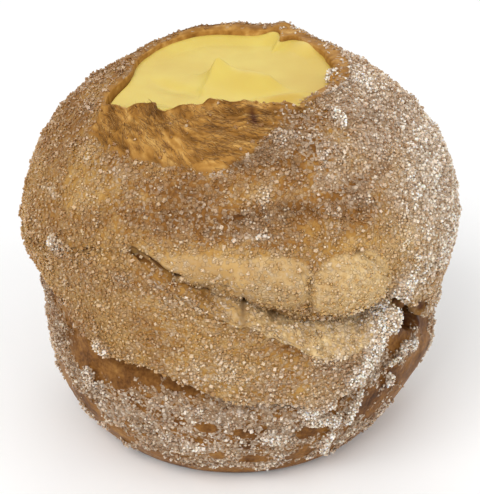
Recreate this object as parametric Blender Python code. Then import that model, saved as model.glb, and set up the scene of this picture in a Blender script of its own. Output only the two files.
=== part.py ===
"""Cruffin: a rolled croissant-dough muffin, torn open at the top and filled with custard.

Metres, +Z up.  The origin is the centre of the flat underside.  The front of the pastry faces -Y.
Angles run in degrees round +Z, with 0 at +X, so -90 is the front.
"""
import math

import bmesh
import bpy
from mathutils import Vector

MM = 0.001

# Driving dimensions, in millimetres.
EQUATOR_RADIUS = 43.8
EQUATOR_HEIGHT = 43.0
DOME_RISE = 34.5
DOME_CURVE = 2.12
FLANK_TAPER = 1.2
FLANK_SPAN = 18.0
SIDE_PINCH = 0.5
TIN_RADIUS = 40.9
TIN_DEPTH = 25.0
TIN_TAPER = 9.3
TIN_CURVE = 2.1
FOOT_ROUND = 1.1
FOOT_HEIGHT = 3.0
TIN_LEAN = -0.9
DOUGH_LEAN = 0.15
BAND_SWELL = 0.6
CREASE_SHARE = 1.12
WELL_DEPTH = 24.0
WELL_FLOOR_SHARE = 0.62
CRUST_GAP = 0.3

# The rolled dough's lines, as (angle, height) stations round the pastry.
LEDGE_LINE = ((-180, 41.0), (-155, 40.5), (-143, 37.6), (-131, 32.6), (-112, 30.6), (-97, 26.6), (-80, 24.1),
              (-68, 22.3), (-57, 28.8), (-47.5, 40.6), (-40, 34.3), (-29, 29.4), (10, 28.4), (60, 32.5),
              (110, 37.0), (150, 40.0))
FOLD_LINE = ((-180, 44.0), (-158, 44.0), (-139, 49.0), (-117, 54.0), (-107, 50.2), (-97, 46.8), (-88, 44.0),
             (-78, 40.4), (-64, 38.6), (-54, 40.0), (-44, 43.6), (0, 46.0), (50, 49.0), (95, 47.5), (140, 46.0))
# The torn lip below the fold, as (angle, height, depth) stations; it closes up where both are near zero.
LIP_STATIONS = ((-180, 0.6, 0.3), (-150, 0.8, 0.6), (-125, 0.3, 0.1), (-117, 0.3, 0.2), (-100, 0.9, 2.0),
                (-88, 1.9, 3.4), (-76, 3.4, 4.6), (-62, 4.6, 4.8), (-52, 4.0, 3.6), (-45, 1.2, 1.2),
                (-36, 0.3, 0.1), (30, 0.3, 0.1), (70, 3.0, 2.4), (105, 3.6, 2.8), (140, 1.0, 0.8))

# The torn opening: its inner edge in plan and in height, and the crust's raised crest round it.
OPENING_RADIUS = 18.5
OPENING_CHORD = 16.3
CHORD_ENDS = (-146.0, -62.0)
TEAR_SLANT = 1.5
TEAR_END = 1.7
CORNER_SPREAD = 21.0
EDGE_HEIGHTS = ((-180, 72.4), (-162, 71.6), (-146, 70.4), (-120, 72.0), (-90, 72.7), (-55, 72.6), (-20, 72.6),
                (30, 73.4), (64, 74.0), (90, 73.6), (150, 72.8))
CREST_RISES = ((-180, 0.7), (-146, 0.3), (-90, 0.2), (-45, 0.5), (0, 1.2), (64, 0.9), (100, 1.0))
CREST_WIDTHS = ((-180, 2.2), (-146, 1.2), (-90, 0.8), (-45, 1.6), (0, 2.2), (64, 3.4), (100, 3.4))
CREST_SPANS = ((-180, 6.0), (-146, 8.0), (-100, 14.0), (-60, 11.0), (-20, 6.0), (90, 5.0))

# The custard's level and its spooned peak.
CUSTARD_LEVEL = 71.5
CUSTARD_DROP = 0.5
PEAK_PLACE = (-4.2, -0.6)
PEAK_HEIGHT = 3.0
PEAK_SPREAD = 3.4

# Loft resolution.
COLUMNS = 80
FRONT_CROWDING = 0.35
TIN_ROWS = 8
LEDGE_ROWS = 3
BAND_ROWS = 6
LIP_ROWS = 3
DOME_ROWS = 14
CREST_ROWS = 3
WELL_ROWS = 5
CUSTARD_RINGS = 10

CRUST_COLOUR = (0.34, 0.19, 0.09, 1.0)
CUSTARD_COLOUR = (0.80, 0.60, 0.18, 1.0)


def ease(t):
    """Smooth step from 0 to 1."""
    t = min(1.0, max(0.0, t))
    return t * t * (3.0 - 2.0 * t)


def turn_between(a, b):
    """Signed angle from b to a, between -180 and 180 degrees."""
    return (a - b + 180.0) % 360.0 - 180.0


def hump(angle, centre, spread):
    """A rounded rise of height 1 at one angle."""
    return math.exp(-((turn_between(angle, centre) / spread) ** 2))


def round_line(angle, stations, item=1):
    """A smooth closed line through stations, read at an angle."""
    count = len(stations)
    angle = (angle + 180.0) % 360.0 - 180.0
    here = max(i for i in range(count) if stations[i][0] <= angle + 1e-9)
    spots = []
    for step in (-1, 0, 1, 2):
        lap, i = divmod(here + step, count)
        spots.append((stations[i][0] + 360.0 * lap, stations[i][item]))
    (a0, v0), (a1, v1), (a2, v2), (a3, v3) = spots
    span = a2 - a1
    t = (angle - a1) / span
    slope1 = (v2 - v0) / (a2 - a0) * span
    slope2 = (v3 - v1) / (a3 - a1) * span
    t2 = t * t
    t3 = t2 * t
    return ((2 * t3 - 3 * t2 + 1) * v1 + (t3 - 2 * t2 + t) * slope1
            + (3 * t2 - 2 * t3) * v2 + (t3 - t2) * slope2)


def flank_radius(angle, height):
    """The rolled dough's outer face below the equator."""
    below = max(0.0, EQUATOR_HEIGHT - height)
    side_pinch = SIDE_PINCH * hump(angle, -5.0, 45.0) * ease(below / 13.0)
    return EQUATOR_RADIUS - FLANK_TAPER * (below / FLANK_SPAN) ** 1.5 - side_pinch


def dome_radius(height):
    """The domed top's outer face above the equator."""
    rise = min(0.999, max(0.0, (height - EQUATOR_HEIGHT) / DOME_RISE))
    return EQUATOR_RADIUS * math.sqrt(1.0 - rise ** DOME_CURVE)


def dome_height(radius):
    """Height of the dome at a radius."""
    share = min(1.0, radius / EQUATOR_RADIUS)
    return EQUATOR_HEIGHT + DOME_RISE * (1.0 - share * share) ** (1.0 / DOME_CURVE)


def dough_radius(angle, height):
    """The rolled dough's outer face at any height, with its slow lumps."""
    lumps = DOUGH_LEAN * math.cos(math.radians(angle)) + 0.25 * math.sin(math.radians(5 * angle - 30.0))
    core = dome_radius(height) if height > EQUATOR_HEIGHT else flank_radius(angle, height)
    return core + lumps * ease((height - 8.0) / 20.0)


def tin_radius(angle, height):
    """The inner roll's face, shaped by the muffin tin, with a rounded foot."""
    below = max(0.0, 1.0 - height / TIN_DEPTH)
    foot = max(0.0, 1.0 - height / FOOT_HEIGHT)
    facets = 0.25 * math.sin(math.radians(3 * angle + 100.0)) * ease(height / 12.0)
    lean = TIN_LEAN * math.cos(math.radians(angle)) * (1.0 - ease((height - 12.0) / 18.0))
    return TIN_RADIUS - TIN_TAPER * below ** TIN_CURVE - FOOT_ROUND * foot * foot + facets + lean


def opening_radius(angle):
    """Inner edge of the torn opening: round behind, a straight tear in front, a pointed left corner."""
    first, last = CHORD_ENDS
    inside = min(turn_between(angle, first), turn_between(last, angle))
    tear = OPENING_CHORD + TEAR_SLANT * ease(turn_between(angle, first) / (last - first))
    chord = tear / max(0.5, abs(math.sin(math.radians(angle))))
    corner = (OPENING_CHORD / abs(math.sin(math.radians(first))) - OPENING_RADIUS) * hump(angle, first, CORNER_SPREAD)
    if inside > 0.0:
        return chord
    rest = OPENING_RADIUS + 1.8 * hump(angle, 64.0, 12.0) - 0.8 * hump(angle, 15.0, 40.0)
    rest += 1.2 * hump(angle, 172.0, 22.0) + TEAR_END * hump(angle, last, 16.0)
    return rest + (corner if turn_between(angle, first) < 0.0 else 0.0)


def mix(a, b, t):
    """Blend two (radius, height) points."""
    return a[0] + (b[0] - a[0]) * t, a[1] + (b[1] - a[1]) * t


def tin_rows(angle, ledge):
    """The tin-baked wall from the foot up to the crease under the ledge."""
    rows = []
    for row in range(TIN_ROWS + 1):
        height = (ledge - 0.4) * (row / TIN_ROWS) ** 1.35
        crease = 0.9 * ease((height - ledge + 4.0) / 3.6)
        rows.append((tin_radius(angle, height) - crease, height))
    return rows


def ledge_rows(angle, ledge):
    """The rolled-under lower edge of the outer layer."""
    edge_round = 1.4
    inner = tin_radius(angle, ledge) - 0.5
    outer = dough_radius(angle, ledge + edge_round)
    rows = []
    for row in range(1, LEDGE_ROWS + 1):
        turn = 0.5 * math.pi * row / LEDGE_ROWS
        rows.append((inner + (outer - inner) * math.sin(turn), ledge - 0.5 + edge_round * (1.0 - math.cos(turn))))
    return rows


def band_rows(angle, low, high, depth):
    """The outer layer's face between the ledge and the torn lip, fuller where the lip stands open."""
    rows = []
    for row in range(1, BAND_ROWS + 1):
        share = row / BAND_ROWS
        height = low + (high - low) * share
        swell = BAND_SWELL * ease(depth / 2.0) * ease(2.0 * share)
        rows.append((dough_radius(angle, height) + swell, height))
    return rows


def lip_rows(angle, brow, fold, depth):
    """The torn top of the outer layer, sloping in to the fold."""
    start = (dough_radius(angle, brow) + BAND_SWELL * ease(depth / 2.0), brow)
    end = (dough_radius(angle, fold) - depth, fold)
    rows = []
    for row in range(1, LIP_ROWS + 1):
        share = row / LIP_ROWS
        radius, height = mix(start, end, share)
        rows.append((radius + 0.12 * depth * math.sin(math.pi * share), height))
    return rows


def dome_rows(angle, fold, depth):
    """The upper coil, from under the fold up to the crest of the opening."""
    crest_radius = opening_radius(angle) + round_line(angle, CREST_WIDTHS)
    crest_height = round_line(angle, EDGE_HEIGHTS) + round_line(angle, CREST_RISES)
    lift = crest_height - dome_height(crest_radius)
    span = round_line(angle, CREST_SPANS)
    low = math.asin((fold + 0.4 - EQUATOR_HEIGHT) / DOME_RISE)
    high = math.asin((dome_height(crest_radius) - EQUATOR_HEIGHT) / DOME_RISE)
    rows = []
    for row in range(DOME_ROWS + 1):
        turn = low + (high - low) * row / DOME_ROWS
        height = EQUATOR_HEIGHT + DOME_RISE * math.sin(turn)
        tuck = max(0.0, 1.0 - (height - fold) / 11.0) ** 2
        radius = dough_radius(angle, height) - depth * CREASE_SHARE * tuck
        if row == DOME_ROWS:
            radius = crest_radius
        near_crest = max(0.0, 1.0 - (radius - crest_radius) / span)
        rows.append((radius, height + lift * near_crest * near_crest))
    return rows


def crest_rows(angle):
    """The crust's rounded crest, rolling in to the opening's edge."""
    inner = (opening_radius(angle), round_line(angle, EDGE_HEIGHTS))
    width = round_line(angle, CREST_WIDTHS)
    rise = round_line(angle, CREST_RISES)
    rows = []
    for row in range(1, CREST_ROWS + 1):
        turn = 0.5 * math.pi * row / CREST_ROWS
        rows.append((inner[0] + width * (1.0 - math.sin(turn)), inner[1] + rise * math.cos(turn)))
    return rows


def well_wall(angle, share, top):
    """A point on the well's wall, share 0 at the top edge and 1 at the floor's edge."""
    mouth = opening_radius(angle)
    floor_radius = OPENING_RADIUS * WELL_FLOOR_SHARE
    floor = top - WELL_DEPTH
    radius = floor_radius + (mouth - floor_radius) * math.cos(0.5 * math.pi * share) ** 0.8
    return radius, top + (floor - top) * share


def well_rows(angle):
    """The well's wall, from just under the edge down to its floor."""
    top = round_line(angle, EDGE_HEIGHTS)
    floor = CUSTARD_LEVEL - WELL_DEPTH
    rows = []
    for row in range(1, WELL_ROWS + 1):
        share = row / WELL_ROWS
        radius, _ = well_wall(angle, share, top)
        rows.append((radius, top + (floor - top) * share))
    return rows


def pastry_section(angle):
    """One upright section of the pastry as (radius, height) points, foot to well floor."""
    ledge = round_line(angle, LEDGE_LINE)
    fold = round_line(angle, FOLD_LINE)
    brow = fold - round_line(angle, LIP_STATIONS, 1)
    depth = round_line(angle, LIP_STATIONS, 2)
    rows = tin_rows(angle, ledge)
    rows += ledge_rows(angle, ledge)
    rows += band_rows(angle, ledge + 0.9, brow, depth)
    rows += lip_rows(angle, brow, fold, depth)
    rows += dome_rows(angle, fold, depth)
    rows += crest_rows(angle)
    rows += well_rows(angle)
    return rows


def custard_surface(x, y):
    """Height of the custard's soft top, with its peak and low ridges."""
    tilt = 0.035 * y + 0.012 * x
    waves = 0.22 * math.sin(0.33 * x + 0.8) * math.cos(0.27 * y - 0.4)
    away = math.hypot(x - PEAK_PLACE[0], y - PEAK_PLACE[1])
    peak = PEAK_HEIGHT * math.exp(-((away / PEAK_SPREAD) ** 1.3))
    return CUSTARD_LEVEL + tilt + waves + peak


def custard_section(angle):
    """One upright section of the custard, from the middle of its top out, down its side and in to its floor."""
    rim = opening_radius(angle) - CRUST_GAP
    x_way = math.cos(math.radians(angle))
    y_way = math.sin(math.radians(angle))
    edge_height = round_line(angle, EDGE_HEIGHTS) - CUSTARD_DROP
    rows = []
    for ring in range(1, CUSTARD_RINGS + 1):
        radius = rim * ring / CUSTARD_RINGS
        level = custard_surface(radius * x_way, radius * y_way)
        rows.append((radius, level + (edge_height - level) * ease((radius - rim + 5.0) / 5.0)))
    top = round_line(angle, EDGE_HEIGHTS)
    floor = CUSTARD_LEVEL - WELL_DEPTH
    for row in range(1, WELL_ROWS + 1):
        share = row / WELL_ROWS
        radius, _ = well_wall(angle, share, top)
        rows.append((radius - CRUST_GAP, max(top + (floor - top) * share, floor + CRUST_GAP)))
    return rows


def column_angles():
    """Angles of the loft's columns, crowded towards the front."""
    angles = []
    for column in range(COLUMNS):
        turn = 360.0 * column / COLUMNS
        angles.append(-90.0 + turn - FRONT_CROWDING * math.degrees(math.sin(math.radians(turn))))
    return angles


def loft(name, section, first_centre, last_centre):
    """A closed body lofted round the axis through sections, closed by a fan at each end."""
    mesh_edit = bmesh.new()
    columns = []
    for angle in column_angles():
        x_way = math.cos(math.radians(angle))
        y_way = math.sin(math.radians(angle))
        points = section(angle)
        columns.append([mesh_edit.verts.new(Vector((r * x_way, r * y_way, h)) * MM) for r, h in points])
    start = mesh_edit.verts.new(Vector((0.0, 0.0, first_centre)) * MM)
    end = mesh_edit.verts.new(Vector((0.0, 0.0, last_centre)) * MM)
    for here, column in enumerate(columns):
        following = columns[(here + 1) % COLUMNS]
        mesh_edit.faces.new((start, following[0], column[0]))
        mesh_edit.faces.new((end, column[-1], following[-1]))
        for row in range(len(column) - 1):
            mesh_edit.faces.new((column[row], following[row], following[row + 1], column[row + 1]))
    bmesh.ops.triangulate(mesh_edit, faces=mesh_edit.faces)
    bmesh.ops.recalc_face_normals(mesh_edit, faces=mesh_edit.faces)
    mesh = bpy.data.meshes.new(name)
    mesh_edit.to_mesh(mesh)
    mesh_edit.free()
    mesh.shade_smooth()
    return bpy.data.objects.new(name, mesh)


def make_material(name, colour, roughness):
    """A plain Principled material."""
    material = bpy.data.materials.new(name)
    material.use_nodes = True
    shader = material.node_tree.nodes["Principled BSDF"]
    shader.inputs["Base Color"].default_value = colour
    shader.inputs["Roughness"].default_value = roughness
    shader.inputs["Metallic"].default_value = 0.0
    return material


def main():
    for old in list(bpy.data.objects):
        bpy.data.objects.remove(old, do_unlink=True)
    collection = bpy.data.collections.new("cruffin")
    bpy.context.scene.collection.children.link(collection)

    pastry = loft("pastry", pastry_section, 0.0, CUSTARD_LEVEL - WELL_DEPTH)
    pastry.data.materials.append(make_material("baked_crust", CRUST_COLOUR, 0.75))
    collection.objects.link(pastry)

    custard = loft("custard", custard_section, custard_surface(0.0, 0.0), CUSTARD_LEVEL - WELL_DEPTH + CRUST_GAP)
    custard.data.materials.append(make_material("custard_cream", CUSTARD_COLOUR, 0.4))
    collection.objects.link(custard)


main()
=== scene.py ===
import math
from functools import partial

import bpy
import numpy as np
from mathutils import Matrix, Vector


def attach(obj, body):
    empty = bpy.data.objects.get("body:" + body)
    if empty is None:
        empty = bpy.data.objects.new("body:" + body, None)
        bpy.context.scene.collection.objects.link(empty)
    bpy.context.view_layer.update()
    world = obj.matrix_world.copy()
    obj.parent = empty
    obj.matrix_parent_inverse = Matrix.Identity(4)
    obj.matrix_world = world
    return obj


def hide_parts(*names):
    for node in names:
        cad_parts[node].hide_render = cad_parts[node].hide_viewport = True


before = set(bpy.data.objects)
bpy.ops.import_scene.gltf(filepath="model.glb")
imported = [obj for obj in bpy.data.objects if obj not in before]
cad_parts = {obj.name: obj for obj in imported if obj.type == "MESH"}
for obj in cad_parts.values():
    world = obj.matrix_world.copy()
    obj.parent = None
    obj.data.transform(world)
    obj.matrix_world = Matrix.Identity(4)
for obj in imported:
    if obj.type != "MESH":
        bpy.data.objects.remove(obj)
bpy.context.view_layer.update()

# A cruffin: rolled croissant dough baked in a muffin tin, rolled in sugar, torn open and filled with custard.
# Shapes are worked out in millimetres and turned to metres when a mesh is made.
# Angles run in degrees round +Z; the front is -90.

MM = 0.001

# The rolled dough's sizes, as the frame has them.
EQUATOR_RADIUS = 43.8
EQUATOR_HEIGHT = 43.0
DOME_RISE = 34.5
DOME_CURVE = 2.12
FLANK_TAPER = 1.2
FLANK_SPAN = 18.0
SIDE_PINCH = 0.5
TIN_RADIUS = 40.9
TIN_DEPTH = 25.0
TIN_TAPER = 9.3
TIN_CURVE = 2.1
FOOT_ROUND = 1.1
FOOT_HEIGHT = 3.0
TIN_LEAN = -0.9
DOUGH_LEAN = 0.15
BAND_SWELL = 0.6
CREASE_SHARE = 1.12

# The dough's lines, as (angle, height) stations round the pastry.
LEDGE_LINE = ((-180, 39.8), (-155, 39.2), (-143, 37.6), (-131, 32.6), (-112, 30.6), (-97, 26.6), (-80, 24.1),
              (-68, 22.3), (-60, 25.4), (-55.8, 29.4), (-53.9, 33.6), (-52, 37.8), (-49, 41), (-41, 35.4),
              (-29, 29.4), (10, 28.4), (60, 32.5), (110, 37), (150, 40))
FOLD_LINE = ((-180, 44), (-158, 44), (-139, 49), (-117, 54), (-107, 50.2), (-97, 46.8), (-88, 44),
             (-78, 40.4), (-64, 38.6), (-54, 40), (-44, 43.6), (0, 46), (50, 49), (95, 47.5),
             (140, 46))
LIP_HEIGHTS = ((-180, 0.6), (-150, 0.8), (-125, 0.3), (-117, 0.3), (-102, 0.3), (-97.5, 0.5), (-93, 1.2),
               (-90.2, 1.6), (-88.4, 0.5), (-85, 0.6), (-77.7, 2.2), (-72, 4), (-64, 4.2), (-58, 3),
               (-54.6, 2.2), (-51.5, 0.8), (-48, 0.3), (30, 0.3), (70, 3), (105, 3.6), (140, 1))
LIP_DEPTHS = ((-180, 0.3), (-150, 0.6), (-125, 0.1), (-117, 0.2), (-100, 2), (-88, 3.4), (-76, 4.6),
              (-62, 4.8), (-55, 3.4), (-51.5, 1), (-47, 0.2), (-36, 0.1), (30, 0.1), (70, 2.4),
              (105, 2.8), (140, 0.8))
CRUMB_LINE = ((-180, 72), (-162, 70), (-150, 68.2), (-140, 66.6), (-124, 66.4), (-105, 66), (-92, 67.4),
              (-78, 69.8), (-62, 71.6), (-45, 72.4), (0, 74.5), (90, 76))

# The torn opening.
OPENING_RADIUS = 18.5
OPENING_CHORD = 16.3
CHORD_FIRST = -144.6
CHORD_LAST = -62.0
TEAR_LAST = -44.0
TEAR_SLANT = 1.5
TEAR_END = 2.4
CORNER_SPREAD = 21.0
EDGE_HEIGHTS = ((-180, 72.6), (-162, 72.2), (-146, 71.8), (-128, 72.6), (-110, 72.5), (-90, 72.7),
                (-55, 72.6), (-20, 72.6), (30, 73.4), (64, 74), (90, 73.8), (120, 73.8), (150, 73.2))
CREST_RISES = ((-180, 0.6), (-146, 0.3), (-90, 0.2), (-45, 0.5), (0, 0.9), (64, 0.2), (92, 1.2), (108, 1),
               (140, 0.5))
CREST_WIDTHS = ((-180, 2.6), (-146, 1.2), (-90, 0.8), (-48, 2.2), (-20, 3.4), (20, 3.6), (64, 3.3), (92, 3),
                (112, 2.3), (145, 2.3))
CREST_SPANS = ((-180, 6), (-146, 8), (-100, 14), (-60, 11), (-20, 6), (90, 5))
# Bites and tabs torn in the front edge, as (angle, outward shift) stations.
TEAR_BITES = ((-180, 0), (-147, 0), (-141.5, 0.3), (-139, 0.8), (-137.4, -0.1), (-133.8, -0.3),
              (-131.5, 0.4), (-129.3, 1.7), (-123.3, 1.9), (-119.9, 0.1), (-111, 0.4), (-108.2, -1),
              (-98.6, -0.5), (-84, -0.7), (-69, -0.4), (-60, 0.3), (-52, 0), (120, 0))
# Where the opening reaches further out or less far, as (angle, spread, reach).
OPENING_REACHES = ((64, 12, 1.8), (15, 40, -0.8), (172, 22, 1.2), (138, 24, 1.1), (108, 16, 0.6),
                   (-42, 20, -0.4))
# A torn wedge of rim that leans in at the back right, and the horn beside it.
WEDGE_ANGLE = 61.0
WEDGE_SPREAD = 3.6
WEDGE_REACH = 3.4
HORN_ANGLE = 68.0
HORN_RISE = 0.8
CUSTARD_LEVEL = 71.5
CUSTARD_DEPTH = 24.0
PEAK_PLACE = (-4.2, -0.6)
# Millimetres from one rolled arc on the dome to the next.
ARC_PITCH = 5.2
# How steeply torn fibres run at the left and in the middle, and streaks of sugar on the roll, in degrees.
LEFT_FIBRES = 54.0
MIDDLE_FIBRES = 5.0
SUGAR_STREAKS = 48.0
# How far in the crust stays, to leave room for its sugar.
SUGAR_ROOM = 0.45
# Millimetres along the wall in one degree.
DEGREE_SPAN = math.radians(1) * 42.0
# How much closer a piece's columns stand at the front.
FRONT_CROWDING = 0.35
# Above this height lies the opening, never a crack lower down.
DOME_BRINK = 60.0
# How brown the dough and the tin-baked roll are on the whole: 0 pale golden, 1 darkest.
DOUGH_BAKE = 0.575
ROLL_BAKE = 0.73

# Pale dough pushed out of the crack, as (angle, height, width, height span, rise).
BULGES = (
    (-97, 51.6, 9, 2.8, 0.7), (-82.6, 49.6, 6.9, 4.9, 1.3), (-63, 47.3, 7.4, 5.8, 1.9),
)

# Swellings (rise above 0) and holes and notches (below 0), as (angle, height, width, height span, rise).
SWELLS = (
    (-81, 41.8, 1.6, 0.9, -0.5), (-105, 50.6, 1, 0.6, -1.2), (-98.5, 47.4, 0.9, 0.6, -0.7),
    (-89.3, 44.8, 0.6, 2, -0.6), (-70.4, 37.6, 2.4, 1.2, -0.6), (-131.7, 17.7, 0.35, 1.3, -1.2),
    (-45, 35.4, 2.6, 3, 1.2), (-36.5, 32, 2.2, 2.4, -1.7), (-30, 28.5, 1.6, 1.4, 1), (-12, 33, 14, 7, -1.6),
    (-12, 26, 12, 4, -0.5), (-12, 18, 12, 4.5, 1), (-168, 20.5, 12, 7, -0.8), (-168, 57, 16, 7, -0.7),
    (-71.5, 48, 0.9, 0.9, 0.7), (-141.8, 49.6, 1.6, 1.2, 0.5), (-116, 54, 0.5, 0.5, -0.6),
)

# Creases, as (line of (angle, height) stations, width, rise, stain): the last column darkens along the
# crease, as painted shade in it and as a caught, reddish stain.
CREASES = (
    (((-73.7, 50), (-73.5, 46), (-73, 42.5)), 0.55, -1, 0.1),
    (((-61.4, 53.6), (-56.8, 51.2), (-54, 47.8), (-53.6, 44)), 0.5, -0.7, 0.25),
    (((-79, 51.6), (-72, 51.9), (-65, 51.2)), 0.35, 0, 0.22),
    (((-146.5, 37.2), (-143.5, 37.4), (-140.2, 38.3), (-138.6, 37.6), (-139.4, 35.6)), 0.45, -1.1, 0.45),
    (((-158, 44.6), (-153.9, 45.2), (-146.9, 46.7), (-140.6, 47.8), (-136, 48.8)), 0.6, -0.7, 0.1),
    (((-50.4, 41.2), (-46.2, 38.8), (-41, 35.6), (-37.5, 33), (-33, 30)), 0.9, -1.3, 0.95),
    (((-40.5, 36.6), (-37.5, 36), (-33.5, 33.6)), 1.3, -0.8, 0.95),
    (((-116.5, 54.2), (-112, 53), (-107.9, 51.4), (-104.5, 50.4)), 0.42, -1, 0.85),
)

# Clumps and streaks of caked sugar, as (line of (angle, height) stations, width).
CLUMPS = (
    (((-47, 44.6), (-51, 42), (-54.2, 38.4), (-55.9, 35.4), (-57, 32.6), (-58.6, 30), (-61, 28.2)), 2.6),
    (((-55.4, 27.6), (-57.2, 25)), 1.6), (((-56.6, 21.5), (-58.3, 15.2)), 1.2),
    (((-64, 17), (-70.8, 18.4)), 1.8), (((-73, 20.6), (-66, 22)), 1.5), (((-83, 15), (-79, 14.4)), 1.4),
    (((-40.4, 26.8), (-35, 25.6)), 1.5), (((-40.4, 26.4), (-43.8, 25), (-47, 25.2)), 0.7),
    (((-44.7, 21.2), (-44.9, 20.2)), 1), (((-63.7, 12.2), (-63.9, 7.6)), 1.1),
    (((-133.4, 23.8), (-132.6, 21.6)), 1.6), (((-104.4, 12.9), (-101.6, 12.5)), 1.5),
    (((-126, 33.2), (-123.6, 32.8)), 1.3), (((-142, 50), (-142.4, 48.4)), 1), (((-9, 72.6), (-16, 72)), 1.1),
    (((-48.5, 71.2), (-50.5, 70.4)), 0.9), (((-46, 38), (-46.3, 32.6)), 0.8),
)

# Smooth bare patches on the tin-baked roll, as (angle, height, width, height span, darker): browner crust,
# and painted shade of the ledge's overhang on the patches just under it at the left.
BARE = (
    (-130.5, 30.6, 6, 5, 0.05), (-140, 33.5, 4.5, 3.4, 0.05), (-135, 27, 5, 4.8, 0.06),
    (-122, 27.5, 5, 4.6, 0.04), (-114.5, 28.4, 5, 3, 0.08), (-107, 27.2, 3.4, 1.6, 0.10),
    (-100, 26.6, 3, 1, 0.10), (-137, 13, 4.2, 4.6, 0), (-149, 15, 7, 5, 0), (-159, 9, 12, 5, 0),
    (-19, 9, 12, 5, 0), (-139, 6, 8, 3.4, 0), (-127.8, 9, 4.4, 3.4, 0), (-118, 5, 5, 2.4, 0),
    (-98.6, 17.9, 2.6, 1.8, 0.02), (-89.2, 17, 2.2, 1.2, 0.10), (-88.6, 12.7, 1.5, 1, 0.08),
    (-96.3, 9.3, 1.8, 1.5, 0.06), (-85.6, 7.4, 4, 1.5, 0.04), (-70.4, 14.6, 3.6, 1.9, 0.18),
    (-71.3, 6.8, 4.5, 1.8, 0.06), (-63.9, 28, 2, 1.6, 0.08), (-55, 32, 3.4, 2.2, 0.08),
    (-52, 16, 5, 3.6, 0.12), (-43.5, 21, 3, 3, 0.08), (-27, 17, 8, 8, 0.02), (-41.5, 31.6, 2, 1.8, 0.12),
    (-44.6, 36, 3.4, 3, 0), (-36.5, 31.5, 5, 4.4, 0.16), (-27, 30.5, 5, 3, 0.16), (-62.2, 27.4, 1.8, 1.2, 0),
)

# Lasting differences in the crust, as (angle, height, width, height span, browner, whiter, more sugared).
SHADES = (
    (-143.5, 65.6, 4.5, 2.6, -0.12, 0.25, 0.2), (-129, 64.3, 4.5, 1.8, 0, 0.30, 0.1),
    (-151.9, 56.4, 3.5, 1, -0.10, 0.70, 0.5), (-141.8, 49.2, 2.7, 1.2, -0.10, 0.70, 0.4),
    (-115.3, 63.7, 7, 1.1, 0.10, 0, -0.15), (-109.1, 60.3, 7, 1.2, 0.10, 0, -0.1),
    (-92.5, 60.6, 3, 0.9, 0.18, 0, -0.2), (-77.2, 61.2, 7.5, 1.2, 0.14, 0, -0.15),
    (-93.6, 58.3, 4.5, 0.9, 0.14, 0, -0.15), (-61, 62.5, 4, 0.8, 0.16, 0, -0.2),
    (-54.9, 63.4, 4.5, 0.6, 0.14, -0.1, -0.1), (-44.6, 64, 3.7, 0.8, 0.20, -0.3, -0.2),
    (-82.9, 56.5, 7, 0.6, 0.12, 0, -0.1), (-84.7, 57.8, 4, 0.45, 0, 0.40, 0.2),
    (-84.6, 63.8, 3, 1, -0.20, 0.30, 0.2), (-97.5, 66.6, 3, 0.6, -0.10, 0.50, 0.3),
    (-90.6, 67.5, 2.7, 0.6, 0.12, 0, -0.2), (-60.2, 59.1, 7.5, 1.8, -0.02, -0.25, 0),
    (-47.4, 52.8, 6.5, 2.4, -0.25, 0.10, 0.2), (-63.3, 54.9, 6, 1, -0.12, -0.1, 0),
    (-99.3, 55, 11, 1.8, -0.12, 0, 0), (-124.6, 52.7, 8, 2.4, -0.08, 0, 0),
    (-137, 59.5, 7, 3, -0.06, 0.20, 0.1), (-40, 57, 8, 4, -0.04, 0.25, 0.1),
    (-31, 69.5, 5, 1, 0.15, -0.2, -0.2), (-139.4, 52.7, 8, 6.4, 0.02, -0.1, -0.1),
    (-22.3, 67.3, 4, 0.8, 0.15, -0.1, -0.1), (-41.8, 67.4, 6, 1.4, 0, 0.15, 0.1),
    (-33.5, 56.2, 8, 6.6, -0.10, 0.15, 0.2), (-42, 47, 6, 5, -0.20, 0.30, 0.2),
    (-165, 70, 14, 2, -0.14, 0.15, 0.1), (-73.5, 70.4, 4, 1.6, 0.05, 0.30, 0.3), (-66, 67, 6, 3, 0, 0.14, 0),
    (-69.9, 64.9, 4.3, 0.9, 0.05, -0.1, 0), (-119.8, 40.9, 4.5, 2.2, 0.06, -0.1, 0),
    (-110.5, 46.4, 5.4, 2.2, -0.05, 0.10, 0.05), (-78.5, 37.6, 5, 1.3, 0.16, -0.1, -0.15),
    (-70.5, 36.4, 7, 1.2, 0.12, -0.1, -0.1), (-103.8, 36.6, 3, 0.9, 0.10, 0, -0.1),
    (-88.8, 33, 9, 3.4, -0.12, 0.20, 0.1), (-103, 64.4, 6, 2, 0.08, -0.1, -0.1),
    (-124.7, 41.8, 1.6, 1, -0.10, 0.30, 0.2), (-133.8, 35.1, 4.5, 3.9, 0.12, -0.1, -0.3),
    (-138.9, 36.6, 3, 2.6, 0.10, 0, -0.2),
)

# Colours, from pale to dark along the crust's browning, and by tone in the rest.
CRUST_STOPS = ((0.0, "#dabc86"), (0.25, "#c59e61"), (0.45, "#aa8043"), (0.65, "#8f622f"), (0.85, "#68411b"),
               (1.0, "#42260e"))
RAW_STOPS = ((0.3, "#be9d68"), (0.5, "#d7b986"), (0.7, "#ebd4a5"))
CRUMB_STOPS = ((0.1, "#694519"), (0.4, "#93652b"), (0.65, "#b1813f"), (0.95, "#d4aa64"))
FINES_STOPS = ((0.0, "#957d66"), (0.4, "#c9b39c"), (0.8, "#ebdccb"), (1.0, "#fdf5ea"))
CUSTARD_STOPS = ((0.3, "#ceb253"), (0.7, "#d6c060"))
# Deeper yellow of a second fold at the front right, with painted shade there and towards the right side.
DEEP_SHADED_CUSTARD = "#c4a03a"
SMEARED_CUSTARD = "#d6bb62"
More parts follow.
